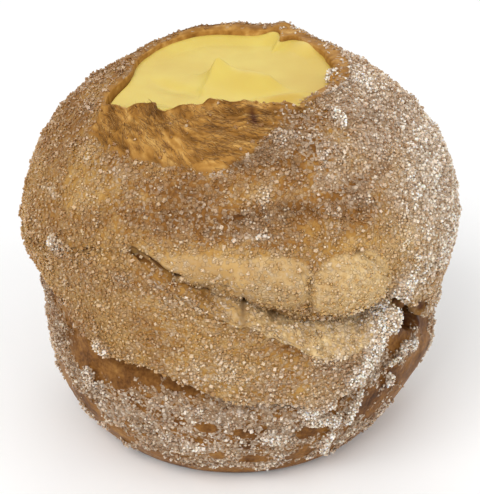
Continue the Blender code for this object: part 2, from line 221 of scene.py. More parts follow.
# Dark red-brown of caught stains and of painted shade in creases and holes, on the crust and on loose fibres.
STAIN_AND_SHADE = "#45200f"
FIBRE_STAIN_AND_SHADE = "#5a2c18"
CLEAR_FINE_SUGAR = "#e4c79c"
CLEAR_SUGAR = "#ebcd9c"
RAW_THROUGH_SUGAR = "#c9a86f"
# A painted highlight inside each fine grain's rim, and painted shade in the cleft round it.
GLINT = "#f9e3bb"
CLEFT_SHADE = "#6b4524"
FLOOR = "#fbfbfb"
# How strongly the painted glint inside a grain's rim, the painted shade in the cleft round it, and a clear
# crystal's painted sparkle show.
GLINT_STOPS = ((0.05, "#000000"), (0.14, "#6a6a6a"), (0.28, "#000000"))
CLEFT_SHADE_STOPS = ((0.0, "#808080"), (0.11, "#000000"))
SPARKLE_STOPS = ((0.0, "#3c3c3c"), (0.55, "#5c5c5c"), (0.8, "#7c7c7c"), (1.0, "#a0a0a0"))
# Pattern sizes in millimetres: uneven browning, fine speckle, and the grains of the finest sugar.
MOTTLE_SIZE = 4.0
SPECKLE_SIZE = 0.8
FINE_GRAIN_SIZE = 0.62
# The same in the custard: streaks, and the unevenness of its skin.
STREAK_SIZE = 9.0
SKIN_SIZE = 1.6

# Dark, reddish places, as (angle, height, width, height span, depth of stain): butter and sugar that caught,
# and painted shade in the holes and pits beneath.
STAINS_AND_PIT_SHADE = (
    (-83.8, 72.2, 1.5, 0.6, 1), (-89.3, 45, 0.6, 1.8, 0.7), (-37.5, 33, 1.8, 2.4, 0.95),
    (-29.6, 28.4, 1.4, 1.4, 0.9), (-25.5, 26, 2.6, 2.2, 0.6), (-41, 34.8, 2, 1.6, 0.5),
    (-131.7, 17.7, 0.3, 1, 0.9), (-81, 42.4, 1.8, 0.8, 0.7), (-6.9, 66.9, 1.6, 1.3, 0.35),
    (-98.5, 47.6, 1, 0.6, 0.5),
)

# Soft ridges in the custard, as (start, end, reach on the near side and on the far side, rise at each end).
CUSTARD_RIDGES = (
    ((-4, -1), (5.2, -5), 3, 0.9, 1.7, 1.7), ((-6.6, -7.5), (-4.4, -1.2), 3, 1, 0.5, 1.6),
    ((3.5, -12.6), (12, -10), 2.4, 1, 0.8, 0.7),
)

# What is strewn on the crust, as (name, shape, mask, most per square metre, gap between two, smallest,
# largest, lift off the crust, seed); sizes in millimetres. The shapes have few faces, because tens of
# thousands of them lie on the crust.
STREWN = (
    ("sugar_dust", "splinter", "sugar", 1.30e6, 0.27, 0.26, 0.38, 0.04, 1),
    ("sugar_fine", "chip", "sugar", 1.00e6, 0.44, 0.42, 0.56, 0.10, 2),
    ("sugar_granulated", "chip", "sugar", 1.15e6, 0.55, 0.50, 0.68, 0.14, 3),
    ("sugar_coarse", "block", "sugar", 0.50e6, 0.85, 0.46, 0.64, 0.16, 4),
    ("sugar_caked", "chip", "caked", 8.0e6, 0.34, 0.40, 0.64, 0.32, 5),
    ("crumb_fibres", "fibre", "loose", 7.0e6, 0.18, 1.0, 2.2, 0.06, 6),
)
# Each shape's sides (nought makes a cube), and the least and greatest proportions of a grain and a fibre.
SHAPE_SIDES = {"splinter": 3, "chip": 4, "block": 0, "fibre": 3}
GRAIN_PROPORTIONS = ((0.65, 0.75, 0.85), (1.0, 1.1, 1.3))
FIBRE_PROPORTIONS = ((0.07, 0.05, 0.5), (0.11, 0.09, 1.3))
FULL_TURN = 6.283

# The studio: the height that the camera looks at and its distance, in millimetres, its lift in degrees
# and its lens; the sky; and the lights, as (name, place, size, watts) in metres.
LOOK_HEIGHT = 34.0
CAMERA_LIFT = 29.0
CAMERA_REACH = 240.0
CAMERA_LENS = 84.8
SKY_STRENGTH = 0.62
LIGHTS = (
    ("key", (-0.40, -0.60, 0.80), 0.6, 6.0),
    ("fill", (0.6, -0.5, 0.55), 0.8, 2.4),
    ("back", (0.1, 0.8, 0.7), 0.7, 1.6),
)


def ease(t):
    """Smooth step from 0 to 1."""
    t = np.clip(t, 0, 1)
    return t * t * (3 - 2 * t)


def turn_between(a, b):
    """Signed angle from b to a, between -180 and 180 degrees."""
    return (a - b + 180) % 360 - 180


def hump(angle, centre, spread):
    """A rounded rise of height 1 at one angle."""
    return np.exp(-((turn_between(angle, centre) / spread) ** 2))


def spot(angle, height, at_angle, at_height, wide, tall):
    """A rounded rise of height 1 at one place on the wall; wide and tall in millimetres."""
    across = turn_between(angle, at_angle) * DEGREE_SPAN
    return np.exp(-((across / wide) ** 2) - ((height - at_height) / tall) ** 2)


def pillow(angle, height, at_angle, at_height, wide, tall):
    """A full swelling of height 1, blunt below and at its ends and soft above."""
    across = np.abs(turn_between(angle, at_angle)) * DEGREE_SPAN
    up = (height - at_height) / tall
    away = (across / wide) ** 2.5 + np.abs(up) ** 2.5
    return np.maximum(0, 1 - away) ** (0.55 + 0.8 * ease(up + 0.2))


def near_line(angle, height, stations, wide):
    """1 along a line of (angle, height) stations on the wall, fading out within wide millimetres."""
    closest = np.full(height.shape, 1e9)
    for (angle0, height0), (angle1, height1) in zip(stations, stations[1:]):
        x = turn_between(angle, angle0) * DEGREE_SPAN
        y = height - height0
        run = (angle1 - angle0) * DEGREE_SPAN
        climb = height1 - height0
        t = np.clip((x * run + y * climb) / (run * run + climb * climb), 0, 1)
        closest = np.minimum(closest, (x - t * run) ** 2 + (y - t * climb) ** 2)
    return np.exp(-closest / wide ** 2)


def round_line(angle, stations):
    """A smooth closed line through (angle, value) stations, read at an array of angles."""
    angle = (np.asarray(angle, float) + 180) % 360 - 180
    knots = np.array(stations, float)
    count = len(knots)
    here = np.searchsorted(knots[:, 0], angle + 1e-9, side="right") - 1
    spots = []
    for step in (-1, 0, 1, 2):
        i = here + step
        spots.append((knots[i % count, 0] + 360 * (i // count), knots[i % count, 1]))
    (a0, v0), (a1, v1), (a2, v2), (a3, v3) = spots
    span = a2 - a1
    t = (angle - a1) / span
    slope1 = (v2 - v0) / (a2 - a0) * span
    slope2 = (v3 - v1) / (a3 - a1) * span
    t2 = t * t
    t3 = t2 * t
    return ((2 * t3 - 3 * t2 + 1) * v1 + (t3 - 2 * t2 + t) * slope1
            + (3 * t2 - 2 * t3) * v2 + (t3 - t2) * slope2)


def field(points, size, seed):
    """A smooth random field between -1 and 1, with lumps about size millimetres across."""
    place = points / size + seed * 13.71
    cell = np.floor(place).astype(np.int64)
    inside = place - cell
    fade = inside * inside * (3 - 2 * inside)
    total = np.zeros(points.shape[:-1])
    for corner in range(8):
        step = np.array([corner & 1, corner >> 1 & 1, corner >> 2 & 1])
        key = (cell + step) @ np.array([73856093, 19349663, 83492791]) + seed * 9176
        key = (key ^ (key >> 13)) * 1274126177 & 0xFFFFFFFF
        key = (key ^ (key >> 15)) * 668265263 & 0xFFFFFFFF
        value = ((key ^ (key >> 16)) & 0xFFFF) / 32767.5 - 1
        weight = np.prod(np.where(step == 1, fade, 1 - fade), axis=-1)
        total += weight * value
    return total


def layered_field(points, size, seed, layers=3):
    """A random field with finer fields added to it, each half as strong."""
    total = np.zeros(points.shape[:-1])
    share = 1
    for layer in range(layers):
        total += share * field(points, size / 2.03 ** layer, seed + layer)
        share *= 0.5
    return total


def round_field(angle, size, seed):
    """A random field along the angle alone, for ragged edges; size in millimetres round the opening."""
    turn = np.radians(angle)
    ring = np.stack([18 * np.cos(turn), 18 * np.sin(turn), np.zeros_like(turn)], axis=-1)
    return field(ring, size, seed)


def flank_radius(angle, height):
    """The dough below its widest place, narrowing a little and pinched at the right."""
    below = np.maximum(0, EQUATOR_HEIGHT - height)
    pinch = SIDE_PINCH * hump(angle, -5, 45) * ease(below / 13)
    return EQUATOR_RADIUS - FLANK_TAPER * (below / FLANK_SPAN) ** 1.5 - pinch


def dome_radius(height):
    """The dome's radius at a height."""
    rise = np.clip((height - EQUATOR_HEIGHT) / DOME_RISE, 0, 0.999)
    return EQUATOR_RADIUS * np.sqrt(1 - rise ** DOME_CURVE)


def dome_height(radius):
    """The dome's height at a radius."""
    share = np.minimum(1, radius / EQUATOR_RADIUS)
    return EQUATOR_HEIGHT + DOME_RISE * (1 - share * share) ** (1 / DOME_CURVE)


def dough_radius(angle, height):
    """The rolled dough's outer face at any height, with its slow lumps."""
    lumps = DOUGH_LEAN * np.cos(np.radians(angle)) + 0.25 * np.sin(np.radians(5 * angle - 30))
    core = np.where(height > EQUATOR_HEIGHT, dome_radius(height), flank_radius(angle, height))
    return core + lumps * ease((height - 8) / 20)


def tin_radius(angle, height):
    """The inner roll's face, shaped by the muffin tin, with a rounded foot."""
    below = np.maximum(0, 1 - height / TIN_DEPTH)
    foot = np.maximum(0, 1 - height / FOOT_HEIGHT)
    facets = 0.25 * np.sin(np.radians(3 * angle + 100)) * ease(height / 12)
    lean = TIN_LEAN * np.cos(np.radians(angle)) * (1 - ease((height - 12) / 18))
    return TIN_RADIUS - TIN_TAPER * below ** TIN_CURVE - FOOT_ROUND * foot * foot + facets + lean


def opening_radius(angle):
    """Inner edge of the torn opening: round behind, a straight tear in front, a pointed left corner."""
    after_first = turn_between(angle, CHORD_FIRST)
    before_last = turn_between(CHORD_LAST, angle)
    tear = OPENING_CHORD + TEAR_SLANT * ease(after_first / (CHORD_LAST - CHORD_FIRST))
    chord = tear / np.maximum(0.5, np.abs(np.sin(np.radians(angle))))
    corner_reach = OPENING_CHORD / abs(math.sin(math.radians(CHORD_FIRST))) - OPENING_RADIUS
    rest = OPENING_RADIUS + TEAR_END * hump(angle, CHORD_LAST, 8)
    for at_angle, spread, reach in OPENING_REACHES:
        rest = rest + reach * hump(angle, at_angle, spread)
    rest = rest + np.where(after_first < 0, corner_reach * hump(angle, CHORD_FIRST, CORNER_SPREAD), 0)
    return np.where(np.minimum(after_first, before_last) > 0, chord, rest)


def column_angles(count):
    """Angles of a piece's columns, crowded towards the front."""
    turn = np.arange(count) * 360 / count
    angle = -90 + turn - FRONT_CROWDING * np.degrees(np.sin(np.radians(turn)))
    return (angle + 180) % 360 - 180


def front_tear(angle):
    """1 along the straight tear at the front of the opening, 0 elsewhere."""
    begun = ease((turn_between(angle, CHORD_FIRST) + 8) / 10)
    return begun * ease((turn_between(TEAR_LAST, angle) + 6) / 14)


class Form:
    """Every line of the pastry read once at a piece's column angles, as (columns, 1) arrays."""

    def __init__(self, count):
        self.angle = column_angles(count)[:, None]
        angle = self.angle
        self.ledge = round_line(angle, LEDGE_LINE) + 0.35 * round_field(angle, 4, 3)
        self.fold = round_line(angle, FOLD_LINE)
        self.lip = np.maximum(0.25, round_line(angle, LIP_HEIGHTS))
        self.depth = np.maximum(0.05, round_line(angle, LIP_DEPTHS))
        self.open = ease(self.depth / 1.5)
        self.fold = self.fold + 0.35 * self.open * round_field(angle, 2.2, 5)
        self.brow = self.fold - self.lip - 0.5 * self.open * round_field(angle, 1.6, 6)
        tear = front_tear(angle)
        bites = round_line(angle, TEAR_BITES)
        ragged = bites + tear * (0.42 * round_field(angle, 1.3, 7) + 0.40 * round_field(angle, 0.55, 8))
        ragged = ragged + (1 - tear) * 0.35 * round_field(angle, 3, 9)
        self.wedge = WEDGE_REACH * hump(angle, WEDGE_ANGLE, WEDGE_SPREAD)
        self.edge_radius = opening_radius(angle) + ragged - self.wedge
        self.edge_height = round_line(angle, EDGE_HEIGHTS) - 0.45 * bites
        self.edge_height = self.edge_height + tear * 0.4 * round_field(angle, 0.8, 10)
        self.crest_radius = opening_radius(angle) + round_line(angle, CREST_WIDTHS) + ragged
        self.crest_rise = round_line(angle, CREST_RISES) + (1 - tear) * 0.25 * round_field(angle, 2.4, 11)
        self.crest_rise = self.crest_rise + HORN_RISE * hump(angle, HORN_ANGLE, 4)
        self.crest_span = round_line(angle, CREST_SPANS)


def strip(radius, height):
    """Stack matching radius and height arrays as (columns, rows, 2)."""
    return np.stack(np.broadcast_arrays(radius, height), axis=-1)


def shares(count, first=0, last=1):
    """Even steps from first to last, as one row."""
    return np.linspace(first, last, count)[None, :]


def inner_roll_section(form):
    """Tin-baked roll: underside, foot, wall up behind the outer coil, and a hidden cap."""
    angle = form.angle
    foot_radius = tin_radius(angle, np.zeros_like(angle))
    under = shares(14, 0.12, 0.985)
    wall = (form.ledge + 3.5) * shares(128) ** 1.15
    tight = 1 - 0.6 * hump(angle, -66, 8) + 0.8 * hump(angle, -37, 7)
    tight = tight + 0.9 * hump(angle, -122, 18)
    crease = 0.8 * tight * ease((wall - form.ledge + 4) / 3.6) + 1.4 * ease((wall - form.ledge) / 3)
    cap = shares(5, 0.92, 0.2)
    top = form.ledge + 4
    return np.concatenate([
        strip(foot_radius * under, 0 * under + 0 * angle),
        strip(tin_radius(angle, wall) - crease, wall),
        strip((TIN_RADIUS - 4) * cap, top + (34 - top) * (1 - cap)),
    ], axis=1)


def outer_coil_section(form):
    """Outer coil: hidden back, rolled-under lower edge, face, torn lip, and the way down into the crack."""
    angle = form.angle
    fused = 1 - form.open
    edge_round = 1.4
    inner = tin_radius(angle, form.ledge) - 0.5
    outer = dough_radius(angle, form.ledge + edge_round)
    turn = 0.5 * math.pi * shares(16, 0.05, 1)
    low = form.ledge - 0.5 + edge_round
    share = shares(100, 0.01, 1)
    face = low + (form.brow - low) * share
    swell = BAND_SWELL * ease(form.depth / 2) * ease(2 * share)
    ridge = 0.5 * form.open * np.exp(-(((face - form.brow) / 1.1) ** 2))
    start = dough_radius(angle, form.brow) + BAND_SWELL * ease(form.depth / 2) + 0.5 * form.open
    end = dough_radius(angle, form.fold) - form.depth - 0.35 * fused
    lip = shares(34, 0.03, 1)
    swelling = 0.10 * form.depth * np.sin(math.pi * lip)
    return np.concatenate([
        strip(inner - 3.5, form.ledge + 2.5),
        strip(inner - 1.2, form.ledge + 0.3),
        strip(inner + (outer - inner) * np.sin(turn), form.ledge - 0.5 + edge_round * (1 - np.cos(turn))),
        strip(dough_radius(angle, face) + swell + ridge, face),
        strip(start + (end - start) * lip + swelling, form.brow + (form.fold - form.brow) * lip),
        strip(end - 0.8, form.fold + 0.5),
        strip(end - 2.2, form.fold + 1),
        strip(end - 3.6, form.fold - 2),
    ], axis=1)


def upper_coil_section(form):
    """Upper coil: hidden back, tucked lower edge, dome, crest, and the torn wall of the well."""
    angle = form.angle
    crest_height = form.edge_height + form.crest_rise
    lift = crest_height - dome_height(form.crest_radius)
    gap = 0.1 * form.open
    low = np.arcsin((form.fold + gap - EQUATOR_HEIGHT) / DOME_RISE)
    high = np.arcsin((dome_height(form.crest_radius) - EQUATOR_HEIGHT) / DOME_RISE)
    share = shares(128)
    turn = low + (high - low) * (share + 0.3 * np.sin(math.pi * share) / math.pi)
    height = EQUATOR_HEIGHT + DOME_RISE * np.sin(turn)
    tuck = np.maximum(0, 1 - (height - form.fold) / 11) ** 2
    radius = dough_radius(angle, height) - form.depth * CREASE_SHARE * tuck
    settle = ease(1 - (high - turn) / 0.12)
    radius = radius + (form.crest_radius - radius) * settle * (turn > high - 0.12)
    near_crest = np.maximum(0, 1 - (radius - form.crest_radius) / form.crest_span)
    height = height + lift * near_crest ** 2
    crest_turn = 0.5 * math.pi * shares(14, 0.07, 1)
    width = form.crest_radius - form.edge_radius
    wall = shares(12, 0.08, 1)
    foot_radius = radius[:, :1]
    return np.concatenate([
        strip(foot_radius - 4.5, form.fold + 3),
        strip(foot_radius - 3, form.fold - 1.6 + 1.2 * form.open),
        strip(foot_radius - 1.6, form.fold - 2 + 1.4 * form.open),
        strip(foot_radius - 0.6, form.fold - 1.2 + 1.1 * form.open),
        strip(radius, height),
        strip(form.edge_radius + width * (1 - np.sin(crest_turn)),
              form.edge_height + form.crest_rise * np.cos(crest_turn)),
        strip(form.edge_radius - 0.6 * wall, form.edge_height - 7 * wall),
        strip(form.edge_radius + 3, form.edge_height - 9),
    ], axis=1)


def swing(section, angle):
    """Turn (columns, rows, 2) radius and height into (columns, rows, 3) points."""
    turn = np.radians(angle)
    radius = section[..., 0]
    return np.stack([radius * np.cos(turn), radius * np.sin(turn), section[..., 1]], axis=-1)


def facing(points, closed_rows):
    """Outward direction at each point of a lofted grid."""
    round_step = np.roll(points, -1, axis=0) - np.roll(points, 1, axis=0)
    if closed_rows:
        up_step = np.roll(points, -1, axis=1) - np.roll(points, 1, axis=1)
    else:
        up_step = np.gradient(points, axis=1)
    out = np.cross(round_step, up_step)
    return out / np.maximum(1e-9, np.linalg.norm(out, axis=-1, keepdims=True))


def crumb_mask(angle, height):
    """1 on the torn, bare crumb in front of the opening, with a ragged edge."""
    line = round_line(angle, CRUMB_LINE) + round_field(angle, 3, 21) + 0.7 * round_field(angle, 1.1, 22)
    return ease((height - line) / (1.8 + 1.6 * hump(angle, -60, 14))) * front_tear(angle)


def pocket_mask(points, angle, height, form):
    """1 on the pale dough that swells out of the crack, fading out along the crack at the left."""
    ragged = 0.18 * field(points, 2.6, 23)
    bulge = 0 * height
    for at_angle, at_height, wide, tall, _ in BULGES:
        across = turn_between(angle, at_angle) * DEGREE_SPAN
        away = np.abs(across / (wide + 0.4)) ** 2.5 + np.abs((height - at_height) / (tall + 0.4)) ** 2.5
        bulge = np.maximum(bulge, ease((1.12 + ragged - away) / 0.3))
    reach = 8.5 * ease((angle + 122) / 26) * ease((-72 - angle) / 8)
    above = (height - form.fold) / np.maximum(0.5, reach)
    wedge = ease(3 * (1 - above + ragged)) * ease(reach / 2)
    return np.maximum(bulge, 0.75 * wedge)


def strands(points, seed, steep, along_size, across_size):
    """Torn fibres seen from above, running down to the right at steep degrees."""
    slope = math.radians(steep)
    along = points[..., 0] * math.cos(slope) - points[..., 1] * math.sin(slope)
    across = points[..., 0] * math.sin(slope) + points[..., 1] * math.cos(slope)
    bend = 1.2 * field(points, 6, seed + 1)
    drawn = np.stack([along / along_size, (across + bend) / across_size, points[..., 2] / 2.5], axis=-1)
    return field(drawn, 1, seed)


def crumb_relief(points):
    """Torn fibres: aslant at the left, level in the middle, in clumps, with finer ones between."""
    left = ease((-3 - points[..., 0]) / 9)
    layers = []
    for seed, along_size, across_size in ((31, 6, 1.3), (33, 4, 0.65), (35, 2.4, 0.36)):
        aslant = strands(points, seed, LEFT_FIBRES, along_size, across_size)
        level = strands(points, seed + 10, MIDDLE_FIBRES, along_size, across_size)
        layers.append(left * aslant + (1 - left) * level)
    return layers


def caked_mask(points, sugar):
    """1 where grains have caked into a raised clump."""
    lumpy = field(points, 3, 91) + 0.55 * field(points, 1.5, 92)
    return ease((lumpy - 0.42) / 0.4) * ease((sugar - 0.35) / 0.3)


def dough_relief(points, height, angle):
    """Slow lumps, coil arcs and a sandy finish of the sugared crust."""
    lumps = 0.40 * field(points, 11, 41) + 0.24 * field(points, 4.5, 42)
    arc_place = height - 2 * ARC_PITCH / 360 * angle + 1.6 * field(points, 16, 43)
    arcs = np.sin(2 * math.pi * arc_place / ARC_PITCH) * (0.5 + 0.5 * field(points, 9, 44))
    sandy = 0.10 * field(points, 1.3, 45) + 0.08 * field(points, 0.6, 46)
    return lumps + 0.18 * arcs * ease((height - 52) / 6) + sandy


def relief(points, angle, form):
    """How far each point of the crust stands out, and the masks that its finish needs."""
    height = points[..., 2]
    crumb = crumb_mask(angle, height)
    pocket = pocket_mask(points, angle, height, form)
    out = dough_relief(points, height, angle) - SUGAR_ROOM
    coarse, middle, fine = crumb_relief(points)
    # The fibre mask follows the crumb's relief, to paint light on the strands and shade between them.
    fibre = 0.53 + 0.20 * coarse + 0.26 * middle + 0.28 * fine
    torn = 0.42 * field(points, 3.4, 36) + 0.25 * field(points, 1.5, 37)
    fibre = fibre + 0.15 * torn
    out = out * (1 - 0.6 * crumb) + crumb * (-0.6 + torn + 0.30 * coarse + 0.25 * middle + 0.13 * fine)
    away = np.hypot(points[..., 0], points[..., 1])
    out = out * np.where(height > DOME_BRINK, 0.1 + 0.9 * ease((away - form.edge_radius - 0.8) / 2.8), 1)
    for at_angle, at_height, wide, tall, rise in BULGES:
        crooked = angle + 2 * field(points, 3.5, 26)
        uneven = height + 0.5 * field(points, 3, 27)
        out = out + rise * pillow(crooked, uneven, at_angle, at_height, wide, tall)
    return out, crumb, pocket, fibre


def marks(angle, height):
    """Swellings, holes and creases: how far they stand out, and how dark they are, as stains and as painted
    shade in the creases and holes.
    """
    rise = 0 * height
    stain = 0 * height
    for *place, up in SWELLS:
        rise = rise + up * spot(angle, height, *place)
    for stations, wide, up, dark in CREASES:
        line = near_line(angle, height, stations, wide)
        rise = rise + up * line
        stain = np.maximum(stain, dark * line)
    for *place, dark in STAINS_AND_PIT_SHADE:
        stain = np.maximum(stain, dark * spot(angle, height, *place))
    return rise, stain


def caked_lines(angle, height, points):
    """1 on the clumps and streaks where wet sugar caked."""
    total = 0 * height
    for stations, wide in CLUMPS:
        total = np.maximum(total, near_line(angle, height, stations, wide))
    return ease(1.7 * total + 0.45 * field(points, 1.6, 93) + 0.55 * field(points, 3.2, 94) - 0.55)


def new_object(name, data):
    """A new object in the scene."""
    thing = bpy.data.objects.new(name, data)
    bpy.context.scene.collection.objects.link(thing)
    return thing


def make_mesh(name, points, material, values=None, closed_rows=True):
    """A closed lofted piece from (columns, rows, 3) points in millimetres; poles close its open rows."""
    columns, rows = points.shape[:2]
    coords = points.reshape(-1, 3) * MM
    index = np.arange(columns * rows).reshape(columns, rows)
    after = np.roll(index, -1, axis=0)
    last = rows if closed_rows else rows - 1
    faces = []
    for row in range(last):
        up = (row + 1) % rows
        faces.append(np.stack([index[:, row], after[:, row], after[:, up], index[:, up]], axis=1))
    quads = np.concatenate(faces)
    fans = np.zeros((0, 3), int)
    if not closed_rows:
        start = points[:, 0].mean(axis=0) * MM
        end = points[:, -1].mean(axis=0) * MM
        base = len(coords)
        coords = np.concatenate([coords, start[None], end[None]])
        first_fan = np.stack([np.full(columns, base), after[:, 0], index[:, 0]], axis=1)
        last_fan = np.stack([np.full(columns, base + 1), index[:, -1], after[:, -1]], axis=1)
        fans = np.concatenate([first_fan, last_fan])
    mesh = bpy.data.meshes.new(name)
    mesh.from_pydata(coords.tolist(), [], quads.tolist() + fans.tolist())
    for key, value in (values or {}).items():
        grid = np.clip(np.broadcast_to(value, (columns, rows)), 0, 1)
        poles = [] if closed_rows else [grid[:, 0].mean(), grid[:, -1].mean()]
        flat = np.concatenate([grid.reshape(-1), poles])
        layer = mesh.attributes.new(key, "FLOAT", "POINT")
        layer.data.foreach_set("value", flat.astype(np.float32))
    mesh.materials.append(material)
    mesh.shade_smooth()
    mesh.update()
    return new_object(name, mesh)


def bake_map(points, angle, height, crumb):
    """How brown the crust is: 0 pale golden, 1 darkest."""
    front = hump(angle, -75, 60)
    brown = DOUGH_BAKE + 0.08 * ease((height - 62) / 6)
    band_line = 60.6 - 0.0012 * turn_between(angle, -80) ** 2 + 0.6 * field(points, 9, 55)
    band = np.exp(-(((height - band_line) / 2.2) ** 2))
    brown = brown + 0.12 * band * front
    brown = brown - 0.03 * np.exp(-(((height - 55) / 3) ** 2)) * (0.35 + 0.65 * front)
    brown = brown - 0.06 * ease((50 - height) / 4) * ease((height - 20) / 6)
    brown = brown + 0.05 * ease((height - 71) / 2.5) * (1 - crumb)
    brown = brown - 0.14 * spot(angle, height, -135, 61, 10, 7)
    brown = brown + 0.12 * spot(angle, height, -66, 31.5, 7, 2)
    for *place, darker, _, _ in SHADES:
        brown = brown + darker * spot(angle, height, *place)
    return brown + 0.08 * field(points, 7, 51) + 0.08 * field(points, 3, 52)


def from_right(angle, start, wide):
    """0 at the left and 1 at the right, easing in past the start angle and out again behind."""
    return ease(turn_between(angle, start) / wide) * ease(turn_between(110, angle) / 60)


def sugar_map(points, angle, height, crumb, pocket):
    """How much of the surface the sugar covers."""
    dome = 0.58 + 0.38 * from_right(angle, -80, 60)
    cover = dome + (1 - dome) * ease((53 - height) / 5)
    cover = cover + 0.22 * layered_field(points, 7, 61, 3)
    for *place, _, _, thicker in SHADES:
        cover = cover + thicker * spot(angle, height, *place)
    bare = ease(crumb * 1.3) * (0.97 - 0.25 * ease((angle + 84) / 16))
    cover = cover * (1 - bare) * (1 - 0.45 * pocket)
    return np.clip(cover, 0, 1)


def base_sugar_map(points, angle, height):
    """Sugar on the tin-baked roll: thick, between bare, smooth patches, in slanting streaks at the right."""
    cover = 0.86 + 0.45 * layered_field(points, 6, 71, 3)
    cover = cover + 0.45 * field(points, 1.8, 76) + 0.30 * field(points, 1, 77)
    along = np.radians(turn_between(angle, -60)) * 40
    slope = math.radians(SUGAR_STREAKS)
    streak = np.stack([(along * math.cos(slope) + height * math.sin(slope)) / 7,
                       (height * math.cos(slope) - along * math.sin(slope)) / 1.5, 0 * height], axis=-1)
    right = ease(turn_between(angle, -76) / 14) * ease(turn_between(10, angle) / 20)
    cover = cover + right * (0.8 * field(streak, 1, 74) - 0.45)
    cover = cover - 1.2 * ease((4.8 - height) / 3.2)
    bare = 0 * height
    for *place, _ in BARE:
        bare = np.maximum(bare, spot(angle, height, *place))
    cover = cover * (1 - ease(2.2 * bare - 0.45 + 0.5 * field(points, 2, 75)))
    return np.clip(cover, 0, 1)


def frost_map(points, angle, height):
    """How white the sugar looks: piled and dry at the right, sunk in and tinted by the crust at the left."""
    frost = 0.24 * from_right(angle, -95, 34) * ease((height - 55) / 8)
    far = from_right(angle, -54, 36) * ease((height - 38) / 8)
    frost = frost + 0.85 * far * (1 - 0.6 * ease((height - 60) / 7))
    frost = frost + 0.10 * ease((angle + 140) / 50) - 0.02
    frost = frost + 0.28 * ease((27 - height) / 6) + 0.16 * ease((36 - height) / 6)
    low_right = ease(turn_between(angle, -75) / 30) * ease((50 - height) / 8)
    frost = frost + (0.10 + 0.16 * ease((height - 20) / 8)) * low_right
    for *place, _, whiter, _ in SHADES:
        frost = frost + whiter * spot(angle, height, *place)
    return frost + 0.10 * field(points, 8, 65)


def linear(hex_colour):
    """An sRGB hex colour as linear red, green, blue and alpha."""
    parts = [int(hex_colour[i:i + 2], 16) / 255.0 for i in (1, 3, 5)]
    return tuple(c / 12.92 if c <= 0.04045 else ((c + 0.055) / 1.055) ** 2.4 for c in parts) + (1.0,)


# Settings and output of nodes that mix colours, draw a random vector and draw a random number.
COLOUR_MIX = {"data_type": "RGBA", "out": 2}
RANDOM_VECTOR = {"data_type": "FLOAT_VECTOR", "out": 0}
RANDOM_NUMBER = {"data_type": "FLOAT", "out": 1}


def feed(node, inputs):
    """Give a node its inputs, by name or place: each a value, or the output that feeds it."""
    for key, value in inputs.items():
        if isinstance(value, bpy.types.NodeSocket):
            node.id_data.links.new(value, node.inputs[key])
        else:
            node.inputs[key].default_value = value


def add(tree, kind, inputs=None, out=0, stops=(), **settings):
    """Add a node with its settings, links and colour stops, and return its output of that name or place."""
    node = tree.nodes.new(kind)
    for key, value in settings.items():
        setattr(node, key, value)
    feed(node, inputs or {})
    if stops:
        elements = node.color_ramp.elements
        while len(elements) < len(stops):
            elements.new(0.5)
        for element, (place, colour) in zip(elements, stops):
            element.position = place
            element.color = linear(colour)
    return node.outputs[out]


def new_material(name, finish, masks=()):
    """A material, what adds a node to it, its shader with the finish set, and the masks that it reads."""
    material = bpy.data.materials.new(name)
    material.use_nodes = True
    tree = material.node_tree
    shader = tree.nodes["Principled BSDF"]
    feed(shader, finish)
    node = partial(add, tree)
    read = {mask: node("ShaderNodeAttribute", out="Fac", attribute_name=mask) for mask in masks}
    return material, node, shader, read


def per_mm(size):
    """Pattern scale whose features are about size millimetres, on Object coordinates in metres."""
    return 1.0 / (size * MM)


